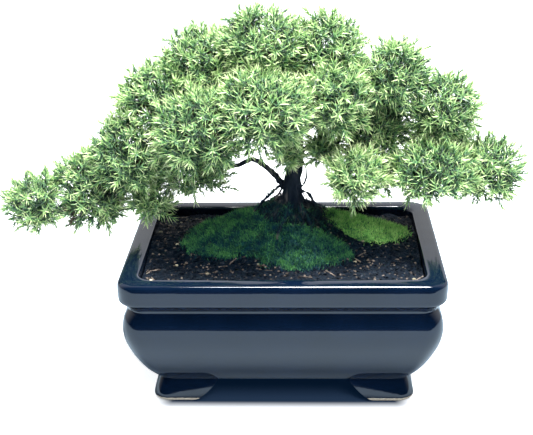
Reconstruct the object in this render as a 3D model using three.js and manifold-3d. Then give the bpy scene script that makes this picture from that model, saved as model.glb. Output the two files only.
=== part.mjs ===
// Dwarf juniper bonsai in a glazed rectangular pot, with its soil, moss and foliage sprays.
// Millimetres, +Z up, +X to the right and -Y to the front. The pot stands on z = 0.
import * as THREE from "three";
import { mergeVertices } from "three/addons/utils/BufferGeometryUtils.js";
import Module from "manifold-3d";

const wasm = await Module();
wasm.setup();

// Driving dimensions of the pot
const rimLength = 180;
const rimDepth = 139;
const potHeight = 78;
const rimCornerRadius = 9;
const lipWidth = 11;
const undersideHeight = 12.6;
const floorHeight = 18.6;
const drainHoleDiameter = 12;
const drainHoleSpacing = 76;
const screenSize = 24;
const screenThickness = 0.8;
const screenHole = 7;
const screenPitch = 9.6;

// Driving dimensions of the feet, as distances in from the face of the rim
const footContactEnd = 36;
const footBend = 44;
const footBendHeight = 1.2;
const footTip = 53;
const cutMargin = 4;

// Driving dimensions of the soil and the moss
const soilLevel = 72;
const moundHeight = 29;
const moundCentre = { x: 1, y: 10 };
const moundReach = { x: 46, y: 27 };
const soilRelief = 0.7;
const soilRings = 7;
const chipCount = 8;
const shortestChip = 3;
const longestChip = 9;
const chipWidth = 2.2;
const chipHeight = 2.6;
const chipTilt = 0.3;
const mossThickness = 3.2;
const mossEdge = 1;
const mossDepth = 4;
const mossBump = 0.7;
const clearance = 0.3;

// Sides and lengthwise steps of the round pieces
const trunkSides = 8;
const trunkSteps = 11;
const rootSides = 4;
const rootSteps = 5;
const limbSides = 5;

// Driving dimensions of the foliage
const stemRadii = [0.45, 0.9, 0.5];
const shootRadii = [0.32, 0.55, 0.5];
const forkShares = [0.22, 0.46];
const shootSag = 0.14;
const shootTip = 2.4;
const barest = 3;
const stemSpacing = 3.5;
const rootShare = 0.12;
const hubShare = 0.35;
const leaderAims = [0.7, 0.45, 0.9, 0.1, -0.3, -0.7].flatMap((rise) =>
  [0, 0.5, -0.5, 1, -1].map((turned) => [rise, turned]),
);
const whorlSpacing = 2.1;
const whorlTurn = Math.PI / 3;
const mostWhorls = 3;
const needleLength = 5.4;
const needleRadius = 0.5;
const needleLean = 0.7;
const sideShoots = 3;
const highestTip = 0.97;
const lowestTip = -0.85;
const mostAttempts = 16;
const steepestLean = 0.9;
const goldenAngle = Math.PI * (3 - Math.sqrt(5));
const seed = 23;

// Outer profile of the pot from its underside to the top of the lip: inset from the rim's face, height
const outerProfile = [
  [21.5, undersideHeight],
  [19.2, undersideHeight + 0.7],
  [17.4, 14.6],
  [11.8, 21.4],
  [6.7, 30.5],
  [2.9, 40],
  [1.5, 48],
  [2.3, 55],
  [4, 58.6],
  [4.9, 60.2],
  [4, 62.6],
  [1.6, 64.8],
  [0.3, 66.4],
  [0, 69],
  [0, 75.4],
  [0.8, 77.3],
  [2.6, potHeight],
];

// Inner profile from the top of the lip down to the edge of the floor
const innerProfile = [
  [lipWidth - 1.8, potHeight],
  [lipWidth - 0.3, 77.2],
  [lipWidth + 0.2, 75.5],
  [lipWidth + 0.4, 48],
  [lipWidth + 1.4, 36],
  [lipWidth + 4.4, 26],
  [lipWidth + 10, floorHeight],
];

// Profile of the feet, which bulge out past the underside's edge
const footProfile = [
  [18.6, 0],
  [17, 1.2],
  [15.9, 4],
  [15.9, 7.6],
  [17.2, 11.2],
  [19.4, 14.8],
];

// Outlines of the moss mats in plan, and the point that each mat spreads from
const mossMats = [
  {
    name: "moss_front",
    colour: 0x2f5a1f,
    centre: [-14, -14],
    outline: [
      [-19, 20], [-36, 24], [-51, 19], [-58, 6], [-57, -6], [-50, -18], [-33, -20], [-19, -23],
      [-4, -32], [10, -34], [29, -27], [38, -20], [37, -12], [27, -9], [15, -7], [0, -10], [-13, -3],
    ],
    steps: 22,
    rings: 3,
  },
  {
    name: "moss_right",
    colour: 0x5f9a26,
    centre: [48, 11],
    outline: [
      [25, 2], [36, -3], [48, -7], [61, -3], [72, 9], [71, 20], [56, 27], [36, 27], [22, 16],
    ],
    steps: 14,
    rings: 3,
  },
];

// The trunk, from the soil to the top of the crown: centre, radius
const trunk = [
  [5, 8, 86, 8],
  [5, 8, 97, 7],
  [5, 8, 104, 5.8],
  [5, 8, 111, 5.3],
  [6.6, 8, 119, 4.6],
  [7.8, 8, 128, 4],
  [8, 8, 142, 3.3],
  [4, 6, 161, 2.4],
  [-4, 3, 179, 1.6],
  [-10, 1, 189, 1],
];

// Surface roots and root struts: centre lines, and radii at both ends
const roots = [
  { radii: [1.3, 0.8], line: [[0, 8, 110], [-5, 7, 107], [-10, 6, 102], [-17, 5, 95], [-22, 4, 86]] },
  { radii: [1.2, 0.8], line: [[8, 8, 106], [13.6, 8, 105], [16.6, 8, 101], [18.5, 7, 94], [20, 6, 86]] },
  { radii: [0.9, 0.6], line: [[10, 7, 126], [13, 6, 121], [13.4, 6, 114], [10, 6, 108]] },
  { radii: [2.4, 0.9], line: [[5, 6, 101], [2, -3, 95.5], [-2, -12, 90], [-5, -19, 81]] },
  { radii: [2, 0.8], line: [[7, 6, 100], [12, -1, 95], [16, -8, 89], [19, -15, 79]] },
  { radii: [2.2, 0.9], line: [[1, 7, 100], [-8, 4, 96], [-17, 0, 90], [-25, -5, 80]] },
  { radii: [2.2, 0.9], line: [[1, 10, 100], [-8, 14, 95], [-17, 19, 88], [-24, 25, 76]] },
  { radii: [2.2, 0.9], line: [[9, 10, 100], [17, 13, 95], [26, 15, 90], [33, 18, 80]] },
  { radii: [2, 0.8], line: [[6, 12, 100], [9, 20, 94], [12, 29, 86], [14, 37, 72]] },
];

// Limbs: centre lines that leave the trunk, and radii at both ends
const limbs = {
  low_left: {
    radii: [2, 0.9],
    line: [
      [2, 8, 107], [-3.7, 8, 114], [-10.2, 7, 121], [-18, 6, 126], [-26, 5, 122.6], [-50, 3, 122],
      [-80, -3, 121], [-104, -2, 106], [-124, -3, 98], [-150, -3, 97],
    ],
  },
  high_left: {
    radii: [1.9, 0.9],
    line: [[7, 8, 134], [-12, 4, 144], [-40, -1, 150], [-62, 0, 156], [-78, 0, 158]],
  },
  front_left: {
    radii: [1.3, 0.8],
    line: [[-12, 4, 144], [-24, -10, 146], [-42, -24, 147], [-58, -30, 148]],
  },
  top_left: {
    radii: [1.4, 0.8],
    line: [[6, 7, 154], [-16, 7, 167], [-38, 8, 176], [-58, 9, 180]],
  },
  crown_right: {
    radii: [1.3, 0.8],
    line: [[3, 6, 163], [12, 5, 174], [21, 4, 182], [30, 4, 185]],
  },
  front: {
    radii: [1.6, 0.8],
    line: [[8, 7, 145], [3, -8, 154], [-5, -24, 160], [-14, -40, 163]],
  },
  front_right: {
    radii: [1.3, 0.8],
    line: [[8, 7, 149], [17, -4, 160], [26, -13, 167], [36, -20, 173]],
  },
  high_right: {
    radii: [1.8, 0.9],
    line: [[8, 8, 139], [26, 6, 152], [46, 1, 164], [62, -2, 171], [74, -4, 176]],
  },
  mid_right: {
    radii: [1.3, 0.8],
    line: [[44, 2, 163], [64, 3, 158], [84, 3, 152], [102, 3, 152]],
  },
  low_right: {
    radii: [1.8, 0.8],
    line: [
      [8, 8, 129], [24, 5, 136], [41, -4, 130], [58, -9, 117], [82, -13, 118], [104, -5, 120],
      [128, -1, 120],
    ],
  },
  inner_right: {
    radii: [1.1, 0.7],
    line: [[27, 6, 152], [40, 12, 145], [54, 14, 141], [68, 14, 140]],
  },
  hanging: {
    radii: [1, 0.7],
    line: [[41, -4, 130], [42, -16, 127], [40, -26, 122], [38, -32, 116]],
  },
  back: {
    radii: [1.7, 0.8],
    line: [[8, 9, 140], [3, 22, 151], [-4, 36, 159], [-14, 50, 163]],
  },
  back_left: {
    radii: [1.2, 0.8],
    line: [[3, 22, 151], [-22, 32, 147], [-46, 40, 144], [-70, 44, 145]],
  },
  back_right: {
    radii: [1.4, 0.8],
    line: [[6, 14, 144], [25, 29, 148], [44, 39, 147], [68, 40, 136], [94, 37, 120], [106, 35, 118]],
  },
  far_left: {
    radii: [1, 0.7],
    line: [[-80, -3, 121], [-92, 14, 114], [-103, 28, 109], [-112, 37, 107]],
  },
};

// Foliage pads: the limb that carries each, its sprays, centre, half width and half height
const pads = [
  ["left_tip", "low_left", 2, [-144, -3, 105], 20, 20],
  ["left_low", "low_left", 2, [-114, 2, 109], 25, 27],
  ["left_mid", "low_left", 2, [-88, -8, 135], 25, 26],
  ["left_hanging", "low_left", 1, [-78, -5, 106], 15, 12],
  ["left_high", "high_left", 2, [-70, 0, 163], 27, 25],
  ["left_top", "top_left", 2, [-46, 8, 183], 26, 24],
  ["left_front", "front_left", 3, [-44, -28, 154], 28, 26],
  ["left_under", "low_left", 2, [-57, 8, 121], 26, 17],
  ["crown", "trunk", 3, [-11, 0, 195], 27, 25],
  ["front", "front", 3, [-10, -34, 167], 28, 25],
  ["crown_right", "crown_right", 2, [25, 4, 193], 23, 23],
  ["front_right", "front_right", 2, [29, -16, 169], 21, 23],
  ["right_high", "high_right", 2, [63, -2, 178], 24, 23],
  ["right_mid", "mid_right", 2, [90, 2, 158], 24, 23],
  ["right_tip", "low_right", 2, [118, 0, 122], 23, 22],
  ["right_low", "low_right", 2, [83, -18, 127], 26, 19],
  ["right_middle", "low_right", 1, [58, -5, 125], 13, 16],
  ["hanging", "hanging", 2, [41, -25, 124], 18, 22],
  ["right_inner", "inner_right", 1, [53, 14, 144], 24, 20],
  ["trunk_tuft", "trunk", 1, [2, -5, 135], 10, 13],
  ["right_droop", "low_right", 1, [27, 3, 129], 13, 9],
  ["back_left", "back_left", 2, [-56, 42, 149], 27, 25],
  ["back_crown", "back", 2, [-8, 43, 165], 28, 26],
  ["back_right", "back_right", 2, [48, 42, 154], 27, 24],
  ["back_far_right", "back_right", 1, [95, 36, 125], 23, 20],
  ["back_far_left", "far_left", 1, [-105, 32, 113], 22, 20],
].map(([name, limb, sprays, centre, halfWidth, halfHeight]) => ({
  name,
  limb,
  sprays,
  centre,
  halfWidth,
  halfHeight,
  turn: sprays === 3 ? -Math.PI / 2 : 0,
}));
const padDepthShare = 0.9;

// Colours and finishes
const materials = {
  glaze: new THREE.MeshStandardMaterial({ color: 0x0b0f1c, roughness: 0.08, metalness: 0 }),
  soil: new THREE.MeshStandardMaterial({ color: 0x2a211c, roughness: 0.95, metalness: 0 }),
  bark: new THREE.MeshStandardMaterial({ color: 0x3a2c26, roughness: 0.9, metalness: 0 }),
  needles: new THREE.MeshStandardMaterial({ color: 0x5d8f4c, roughness: 0.55, metalness: 0 }),
  screen: new THREE.MeshStandardMaterial({ color: 0x1c1c1c, roughness: 0.6, metalness: 0 }),
};

// The closed solid inside a geometry's surface.
function solidOf(geometry) {
  geometry.deleteAttribute("normal");
  geometry.deleteAttribute("uv");
  const merged = mergeVertices(geometry, 1e-3);
  return new wasm.Manifold(
    new wasm.Mesh({
      numProp: 3,
      vertProperties: new Float32Array(merged.attributes.position.array),
      triVerts: new Uint32Array(merged.index.array),
    }),
  );
}

// A named mesh of a solid, placed at a point that the solid's own coordinates start from.
function meshOf(name, solid, material, place = [0, 0, 0]) {
  const { vertProperties, triVerts } = solid.getMesh();
  const geometry = new THREE.BufferGeometry();
  geometry.setAttribute("position", new THREE.BufferAttribute(vertProperties, 3));
  geometry.setIndex(new THREE.BufferAttribute(triVerts, 1));
  geometry.computeVertexNormals();
  const mesh = new THREE.Mesh(geometry, material);
  mesh.name = name;
  mesh.position.set(...place);
  return mesh;
}

// A copy of a solid with its nearly equal corners merged, a little higher where a lift is given.
function copied(solid, lift = 0) {
  const { vertProperties, triVerts } = solid.getMesh();
  const geometry = new THREE.BufferGeometry();
  geometry.setAttribute("position", new THREE.BufferAttribute(vertProperties, 3));
  geometry.setIndex(new THREE.BufferAttribute(triVerts, 1));
  return solidOf(geometry.translate(0, 0, lift));
}

// The largest of a solid's bodies, without loose scraps.
function largestBody(solid) {
  const bodies = copied(solid).decompose();
  bodies.sort((a, b) => b.volume() - a.volume());
  return bodies[0];
}

// A closed surface through rings of equally many points, with a flat cap at each end.
function loft(rings) {
  const count = rings[0].length;
  const points = rings.flat();
  const faces = [];
  for (let ring = 0; ring + 1 < rings.length; ring++) {
    for (let i = 0; i < count; i++) {
      const next = (i + 1) % count;
      const low = ring * count;
      const high = low + count;
      faces.push(low + i, low + next, high + next);
      faces.push(low + i, high + next, high + i);
    }
  }
  const middleOf = (ring) =>
    ring.reduce((sum, point) => sum.add(point), new THREE.Vector3()).divideScalar(count);
  const first = points.push(middleOf(rings[0])) - 1;
  const last = points.push(middleOf(rings.at(-1))) - 1;
  const top = (rings.length - 1) * count;
  for (let i = 0; i < count; i++) {
    const next = (i + 1) % count;
    faces.push(first, next, i);
    faces.push(last, top + i, top + next);
  }
  const geometry = new THREE.BufferGeometry().setFromPoints(points);
  geometry.setIndex(faces);
  return geometry;
}

// A rounded rectangle at one height, set in from the rim's face.
function potRing(inset, height, cornerSteps = 4) {
  const radius = rimCornerRadius - 0.25 * inset;
  const x = rimLength / 2 - inset - radius;
  const y = rimDepth / 2 - inset - radius;
  const ring = [];
  [[1, 1], [-1, 1], [-1, -1], [1, -1]].forEach(([sideX, sideY], corner) => {
    for (let step = 0; step <= cornerSteps; step++) {
      const angle = (corner + step / cornerSteps) * (Math.PI / 2);
      ring.push(
        new THREE.Vector3(
          sideX * x + radius * Math.cos(angle),
          sideY * y + radius * Math.sin(angle),
          height,
        ),
      );
    }
  });
  return ring;
}

// The foot's outline seen square to a side of the pot, run along the other way as a bar.
function footBar(halfSize, barLength) {
  const outline = new THREE.Shape();
  outline.moveTo(-halfSize, -cutMargin);
  outline.lineTo(-halfSize + footContactEnd, -cutMargin);
  outline.lineTo(-halfSize + footContactEnd, 0);
  outline.quadraticCurveTo(
    -halfSize + footBend,
    footBendHeight,
    -halfSize + footTip,
    undersideHeight + clearance,
  );
  outline.lineTo(-halfSize + footTip, undersideHeight + cutMargin);
  outline.lineTo(-halfSize, undersideHeight + cutMargin);
  const bar = new THREE.ExtrudeGeometry(outline, {
    depth: barLength,
    bevelEnabled: false,
    curveSegments: 5,
  });
  bar.translate(0, 0, -barLength / 2);
  bar.rotateX(Math.PI / 2);
  return bar;
}

// The fired body with its four feet and two drain holes.
function potSolid() {
  const profile = [...outerProfile, ...innerProfile];
  let pot = solidOf(loft(profile.map(([inset, height]) => potRing(inset, height))));
  const leftFeet = footBar(rimLength / 2, rimDepth);
  const rightFeet = leftFeet.clone().rotateZ(Math.PI);
  const frontFeet = footBar(rimDepth / 2, rimLength).rotateZ(Math.PI / 2);
  const backFeet = frontFeet.clone().rotateZ(Math.PI);
  const feet = solidOf(loft(footProfile.map(([inset, height]) => potRing(inset, height))))
    .intersect(solidOf(leftFeet).add(solidOf(rightFeet)))
    .intersect(solidOf(frontFeet).add(solidOf(backFeet)));
  pot = pot.add(feet);
  for (const side of [-1, 1]) {
    const hole = new THREE.CylinderGeometry(
      drainHoleDiameter / 2,
      drainHoleDiameter / 2,
      floorHeight - undersideHeight + 2 * cutMargin,
      16,
    );
    hole.rotateX(Math.PI / 2);
    hole.translate((side * drainHoleSpacing) / 2, 0, (floorHeight + undersideHeight) / 2);
    pot = pot.subtract(solidOf(hole));
  }
  return pot;
}

// A square of plastic mesh with two by two square holes.
function screenSolid() {
  const plate = new THREE.BoxGeometry(screenSize, screenSize, screenThickness);
  let screen = solidOf(plate.translate(0, 0, screenThickness / 2));
  for (const x of [-0.5, 0.5]) {
    for (const y of [-0.5, 0.5]) {
      const hole = new THREE.BoxGeometry(screenHole, screenHole, 4 * screenThickness);
      hole.translate(x * screenPitch, y * screenPitch, 0);
      screen = screen.subtract(solidOf(hole));
    }
  }
  return screen;
}

// The height of the soil's surface: a mound under the trunk, with low relief.
function soilHeight(x, y) {
  const alongX = (Math.abs(x - moundCentre.x) / moundReach.x) ** 1.25;
  const alongY = (Math.abs(y - moundCentre.y) / moundReach.y) ** 1.9;
  const relief = Math.sin(0.37 * x + 1.2 * Math.sin(0.21 * y)) * Math.sin(0.41 * y - 0.6);
  return soilLevel + moundHeight * Math.exp(-alongX - alongY) + soilRelief * relief;
}

// Bark chips that stand out of the soil between the moss and the walls, turned at random.
function soilChips() {
  const chips = [];
  THREE.MathUtils.seededRandom(seed);
  const draw = (low, high) => THREE.MathUtils.lerp(low, high, THREE.MathUtils.seededRandom());
  for (let i = 0; i < chipCount; i++) {
    const atSide = i % 2 === 0;
    const x = atSide ? Math.sign(draw(-1, 1)) * draw(62, 70) : draw(-62, 62);
    const y = atSide ? draw(-38, 38) : draw(-47, -39);
    const chip = new THREE.BoxGeometry(draw(shortestChip, longestChip), chipWidth, chipHeight);
    chip.rotateX(draw(-chipTilt, chipTilt));
    chip.rotateY(draw(-chipTilt, chipTilt));
    chip.rotateZ(draw(0, Math.PI));
    chip.translate(x, y, soilHeight(x, y));
    chips.push(solidOf(chip));
  }
  return chips;
}

// The potting mix: it fills the pot, clear of its walls and floor, and rises to the mound.
function soilSolid() {
  const rings = [];
  const [wall, ...below] = innerProfile.slice(3);
  const wallRing = potRing(wall[0] + clearance, soilLevel);
  for (const [inset, height] of [...below.reverse(), wall]) {
    rings.push(potRing(inset + clearance, height + (height === floorHeight ? clearance : 0)));
  }
  for (let step = 0; step < soilRings; step++) {
    const share = 1 - step / soilRings;
    rings.push(
      wallRing.map((point) => {
        const x = moundCentre.x + (point.x - moundCentre.x) * share;
        const y = moundCentre.y + (point.y - moundCentre.y) * share;
        return new THREE.Vector3(x, y, soilHeight(x, y));
      }),
    );
  }
  let soil = solidOf(loft(rings));
  for (const chip of soilChips()) {
    soil = soil.add(chip);
  }
  for (const side of [-1, 1]) {
    const size = screenSize + 2 * clearance;
    const height = screenThickness + 2 * clearance;
    const pocket = new THREE.BoxGeometry(size, size, 2 * height);
    pocket.translate((side * drainHoleSpacing) / 2, 0, floorHeight + clearance);
    soil = soil.subtract(solidOf(pocket));
  }
  return soil;
}

// A moss mat before it is fitted to the soil: bumpy cushions, thin at the edge.
function mossCushion({ centre, outline, steps, rings }) {
  const edge = new THREE.CatmullRomCurve3(
    outline.map(([x, y]) => new THREE.Vector3(x, y, 0)),
    true,
  ).getPoints(steps).slice(0, steps);
  const middle = new THREE.Vector3(...centre, 0);
  const layer = (share, lift, bump) =>
    edge.map((point, i) => {
      const turned = edge[i].clone().lerp(edge[(i + 1) % steps], bump < 0 ? 0.5 : 0);
      const { x, y } = middle.clone().lerp(turned, share);
      const cushion = i % 2 === 0 ? bump : -bump;
      return new THREE.Vector3(x, y, soilHeight(x, y) + lift + cushion);
    });
  const lofted = [layer(0.3, -mossDepth, 0), layer(0.98, -mossDepth, 0)];
  for (let ring = 0; ring < rings; ring++) {
    const share = 1 - ring / rings;
    const bump = ring === 0 ? 0 : ring % 2 === 0 ? mossBump : -mossBump;
    const rise = THREE.MathUtils.lerp(mossEdge, mossThickness, Math.sqrt(1 - share ** 4));
    lofted.push(layer(share, rise, bump));
  }
  return solidOf(loft(lofted));
}

// The radius at a share of a limb's length, from a list of radii spread evenly along it.
function radiusAt(radii, share) {
  const place = share * (radii.length - 1);
  const low = Math.min(Math.floor(place), radii.length - 2);
  return THREE.MathUtils.lerp(radii[low], radii[low + 1], place - low);
}

// A limb's centre line and radii. The trunk counts as a limb.
function limbNamed(name) {
  if (name === "trunk") {
    return { line: trunk.map(([x, y, z]) => [x, y, z]), radii: trunk.map((row) => row[3]) };
  }
  return limbs[name];
}

function curveThrough(line) {
  return new THREE.CatmullRomCurve3(line.map((point) => new THREE.Vector3(...point)));
}

// A ring of points round a centre, and the direction that its first point lies in.
function ringRound(centre, along, towards, radius, sides, turn = 0) {
  const across = towards.clone().addScaledVector(along, -towards.dot(along)).normalize();
  const side = new THREE.Vector3().crossVectors(along, across);
  const ring = [];
  for (let i = 0; i < sides; i++) {
    const angle = turn + (2 * Math.PI * i) / sides;
    const point = centre.clone();
    point.addScaledVector(across, radius * Math.cos(angle));
    point.addScaledVector(side, radius * Math.sin(angle));
    ring.push(point);
  }
  return { ring, across, side };
}

// A tapered limb along its line, made thicker and longer all round by an extra radius.
function limbGeometry({ line, radii }, steps, sides, extra = 0) {
  const curve = curveThrough(line);
  const rings = [];
  let towards = new THREE.Vector3(0.31, 0.86, 0.4);
  for (let step = 0; step <= steps; step++) {
    const share = step / steps;
    const along = curve.getTangent(share);
    const centre = curve.getPoint(share);
    centre.addScaledVector(along, step === 0 ? -extra : step === steps ? extra : 0);
    const placed = ringRound(centre, along, towards, radiusAt(radii, share) + extra, sides);
    towards = placed.across;
    rings.push(placed.ring);
  }
  return loft(rings);
}

// The trunk with its surface roots, grown by an extra radius where a hole for it is wanted.
function trunkAndRoots(extra) {
  let wood = solidOf(limbGeometry(limbNamed("trunk"), trunkSteps, trunkSides, extra));
  for (const root of roots) {
    wood = wood.add(solidOf(limbGeometry(root, rootSteps, rootSides, extra)));
  }
  return wood;
}

// The whole wood: trunk, roots and limbs grown together.
function woodSolid() {
  let wood = trunkAndRoots(0);
  for (const limb of Object.values(limbs)) {
    wood = wood.add(solidOf(limbGeometry(limb, 2 * limb.line.length - 2, limbSides)));
  }
  return wood;
}

// The shortest distance between two straight segments.
function segmentDistance(a, b) {
  const u = a.end.clone().sub(a.start);
  const v = b.end.clone().sub(b.start);
  const w = a.start.clone().sub(b.start);
  const [uu, uv, vv, uw, vw] = [u.dot(u), u.dot(v), v.dot(v), u.dot(w), v.dot(w)];
  const clamp = THREE.MathUtils.clamp;
  const bottom = uu * vv - uv * uv;
  let s = bottom > 1e-9 ? clamp((uv * vw - vv * uw) / bottom, 0, 1) : 0;
  const t = clamp((uv * s + vw) / vv, 0, 1);
  s = clamp((uv * t - uw) / uu, 0, 1);
  return w.addScaledVector(u, s).addScaledVector(v, -t).length();
}

// Straight segments with radii, which stand for a curve when pieces are kept clear of each other.
function segmentsAlong(curve, radii, steps, owner) {
  const segments = [];
  for (let step = 0; step < steps; step++) {
    segments.push({
      start: curve.getPoint(step / steps),
      end: curve.getPoint((step + 1) / steps),
      radius: radiusAt(radii, (step + 0.5) / steps),
      owner,
      rooted: step < 3,
    });
  }
  return segments;
}

// True where no segment comes within the clearance of a segment that is already taken.
// The rooted segments of one spray may meet, because its side shoots grow out of its leader there.
function isClear(segments, taken, owner) {
  return segments.every((segment) => {
    const middle = segment.start.clone().lerp(segment.end, 0.5);
    const reach = segment.start.distanceTo(segment.end) / 2 + segment.radius + 8;
    return taken.every((other) => {
      if (other.owner === owner && (segment.rooted || other.rooted)) {
        return true;
      }
      const otherReach = other.start.distanceTo(other.end);
      if (other.start.distanceTo(middle) > reach + otherReach) {
        return true;
      }
      return segmentDistance(segment, other) > segment.radius + other.radius + clearance;
    });
  });
}

// A leafy shoot along a curve: a slim three-sided core whose end carries whorls of three needles.
// It gives the closed surface, and the segments that its core and needles fill.
function shoot(curve, radii, plainShares, owner) {
  const length = curve.getLength();
  const whorls = Math.min(mostWhorls, Math.floor((length - shootTip - barest) / whorlSpacing));
  const rings = [...plainShares];
  for (let left = whorls; left >= 0; left--) {
    rings.push(1 - (shootTip + left * whorlSpacing) / length);
  }
  const points = [];
  const triangles = [2, 1, 0];
  const needles = [];
  let towards = new THREE.Vector3(0.6, -0.3, 0.74);
  let turn = 0;
  rings.forEach((share, ring) => {
    const leafy = ring > plainShares.length;
    turn += leafy ? whorlTurn : 0;
    const along = curve.getTangentAt(share);
    const centre = curve.getPointAt(share);
    const placed = ringRound(centre, along, towards, radiusAt(radii, share), 3, turn);
    towards = placed.across;
    points.push(...placed.ring);
    for (let i = 0; i < 3 && ring > 0; i++) {
      const low = 3 * (ring - 1);
      const high = 3 * ring;
      const next = (i + 1) % 3;
      const corners = [low + i, low + next, high + next, high + i];
      if (!leafy) {
        triangles.push(corners[0], corners[1], corners[2]);
        triangles.push(corners[0], corners[2], corners[3]);
        continue;
      }
      const angle = turn - whorlTurn / 2 + (2 * Math.PI * (i + 0.5)) / 3;
      const end = centre.clone();
      end.addScaledVector(placed.across, needleLength * Math.sin(needleLean) * Math.cos(angle));
      end.addScaledVector(placed.side, needleLength * Math.sin(needleLean) * Math.sin(angle));
      end.addScaledVector(along, needleLength * Math.cos(needleLean) - whorlSpacing / 2);
      needles.push({ corners, root: centre, end });
    }
  });
  const lastRing = points.length - 3;
  for (const { corners, end } of needles) {
    const apex = points.push(end) - 1;
    for (let i = 0; i < 4; i++) {
      triangles.push(corners[i], corners[(i + 1) % 4], apex);
    }
  }
  const apex = points.push(curve.getPoint(1)) - 1;
  for (let i = 0; i < 3; i++) {
    triangles.push(lastRing + i, lastRing + ((i + 1) % 3), apex);
  }
  const geometry = new THREE.BufferGeometry().setFromPoints(points);
  geometry.setIndex(triangles);
  const segments = segmentsAlong(curve, radii, 5, owner);
  for (const { root, end } of needles) {
    segments.push({ start: root, end, radius: needleRadius, owner });
  }
  return { geometry, segments };
}

// The middle of a pad as a vector, with its half sizes.
function padShape({ centre, halfWidth, halfHeight }) {
  return {
    middle: new THREE.Vector3(...centre),
    half: new THREE.Vector3(halfWidth, padDepthShare * halfWidth, halfHeight),
  };
}

// The leader of one of a pad's sprays: it leaves the limb where it is clear of all that is taken,
// and rises to the pad's outside, or less steeply where something is in its way.
function leaderOf(pad, number, surface, taken, used) {
  const { middle, half } = padShape(pad);
  const angle = pad.turn + (2 * Math.PI * number) / pad.sprays;
  const side = new THREE.Vector3(Math.cos(angle), Math.sin(angle), 0);
  const hub = middle.clone().addScaledVector(side.clone().multiply(half), hubShare);
  const limb = limbNamed(pad.limb);
  const limbCurve = curveThrough(limb.line);
  const owner = `spray_${pad.name}_${number + 1}`;
  const roots = [];
  for (let share = 0.1; share < 0.99; share += 0.01) {
    const point = limbCurve.getPoint(share);
    const towards = hub.clone().sub(point).normalize();
    const lean = Math.abs(towards.dot(limbCurve.getTangent(share)));
    const [surfaceHit] = new THREE.Raycaster(point, towards).intersectObject(surface);
    if (!surfaceHit || lean > steepestLean) {
      continue;
    }
    const slant = Math.sqrt(1 - lean * lean);
    const gap = clearance + stemRadii[0] * lean;
    const clearStart = point.clone().addScaledVector(towards, (radiusAt(limb.radii, share) + gap) / slant);
    const start = surfaceHit.point.addScaledVector(towards, gap / slant);
    if (used.every((other) => other.distanceTo(clearStart) > stemSpacing)) {
      roots.push({ start, clearStart, distance: point.distanceTo(hub) });
    }
  }
  roots.sort((a, b) => a.distance - b.distance);
  for (const [rise, turned] of leaderAims) {
    const level = Math.sqrt(1 - rise * rise);
    const heading = angle + turned;
    const aim = new THREE.Vector3(level * Math.cos(heading), level * Math.sin(heading), rise);
    const tip = middle.clone().add(aim.multiply(half));
    for (const { start, clearStart } of roots) {
      const tried = new THREE.QuadraticBezierCurve3(clearStart, hub, tip);
      const { segments } = shoot(tried, stemRadii, [0, ...forkShares], owner);
      const beyondRoot = { ...segments[0], start: tried.getPoint(rootShare) };
      if (isClear([beyondRoot, ...segments.slice(1)], taken, owner)) {
        const curve = new THREE.QuadraticBezierCurve3(start, hub, tip);
        const seated = shoot(curve, stemRadii, [0, ...forkShares], owner);
        used.push(clearStart);
        taken.push(...seated.segments);
        return { owner, start, curve, side, parts: [seated.geometry] };
      }
    }
  }
  throw new Error(`no clear place for the leader of ${owner}`);
}

// Leaders for all sprays, then side shoots that end evenly over each pad's outside.
function growSprays(wood) {
  const surface = meshOf("surface", wood, new THREE.MeshBasicMaterial({ side: THREE.BackSide }));
  const taken = [];
  for (const name of ["trunk", ...Object.keys(limbs)]) {
    const { line, radii } = limbNamed(name);
    taken.push(...segmentsAlong(curveThrough(line), radii, 3 * line.length, "wood"));
  }
  const used = [];
  const grown = pads.map((pad) =>
    Array.from({ length: pad.sprays }, (_, number) => leaderOf(pad, number, surface, taken, used)),
  );
  THREE.MathUtils.seededRandom(seed);
  const draw = () => THREE.MathUtils.seededRandom() - 0.5;
  pads.forEach((pad, padNumber) => {
    const { middle, half } = padShape(pad);
    const count = sideShoots * pad.sprays;
    for (let i = 0; i < count; i++) {
      const height = THREE.MathUtils.lerp(highestTip, lowestTip, i / (count - 1));
      const angle = padNumber + i * goldenAngle;
      const level = Math.sqrt(1 - height * height);
      const outward = new THREE.Vector3(level * Math.cos(angle), level * Math.sin(angle), height);
      const spray = grown[padNumber].reduce((best, other) =>
        other.side.dot(outward) > best.side.dot(outward) + 1e-9 ? other : best,
      );
      for (let attempt = 0; attempt < mostAttempts; attempt++) {
        const turned = new THREE.Vector3(draw(), draw(), draw());
        const aim = outward.clone().addScaledVector(turned, 0.15 + 0.06 * attempt).normalize();
        const tip = middle.clone().addScaledVector(aim.multiply(half), 1 - 0.02 * attempt);
        const start = spray.curve.getPointAt(forkShares[i % forkShares.length]);
        const bend = start.clone().lerp(tip, 0.5);
        bend.z -= shootSag * start.distanceTo(tip);
        const curve = new THREE.QuadraticBezierCurve3(start, bend, tip);
        const made = shoot(curve, shootRadii, [0], spray.owner);
        if (isClear(made.segments, taken, spray.owner)) {
          taken.push(...made.segments);
          spray.parts.push(made.geometry);
          break;
        }
      }
    }
  });
  return grown.flat();
}

// One spray as a mesh: its leader and side shoots joined, placed at the foot of the leader.
function sprayMesh({ owner, start, parts }) {
  const away = start.clone().negate().toArray();
  const [leader, ...others] = parts.map((part) => solidOf(part.translate(...away)));
  const spray = largestBody(others.reduce((joined, other) => joined.add(other), leader));
  return meshOf(owner, spray, materials.needles, start.toArray());
}

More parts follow.
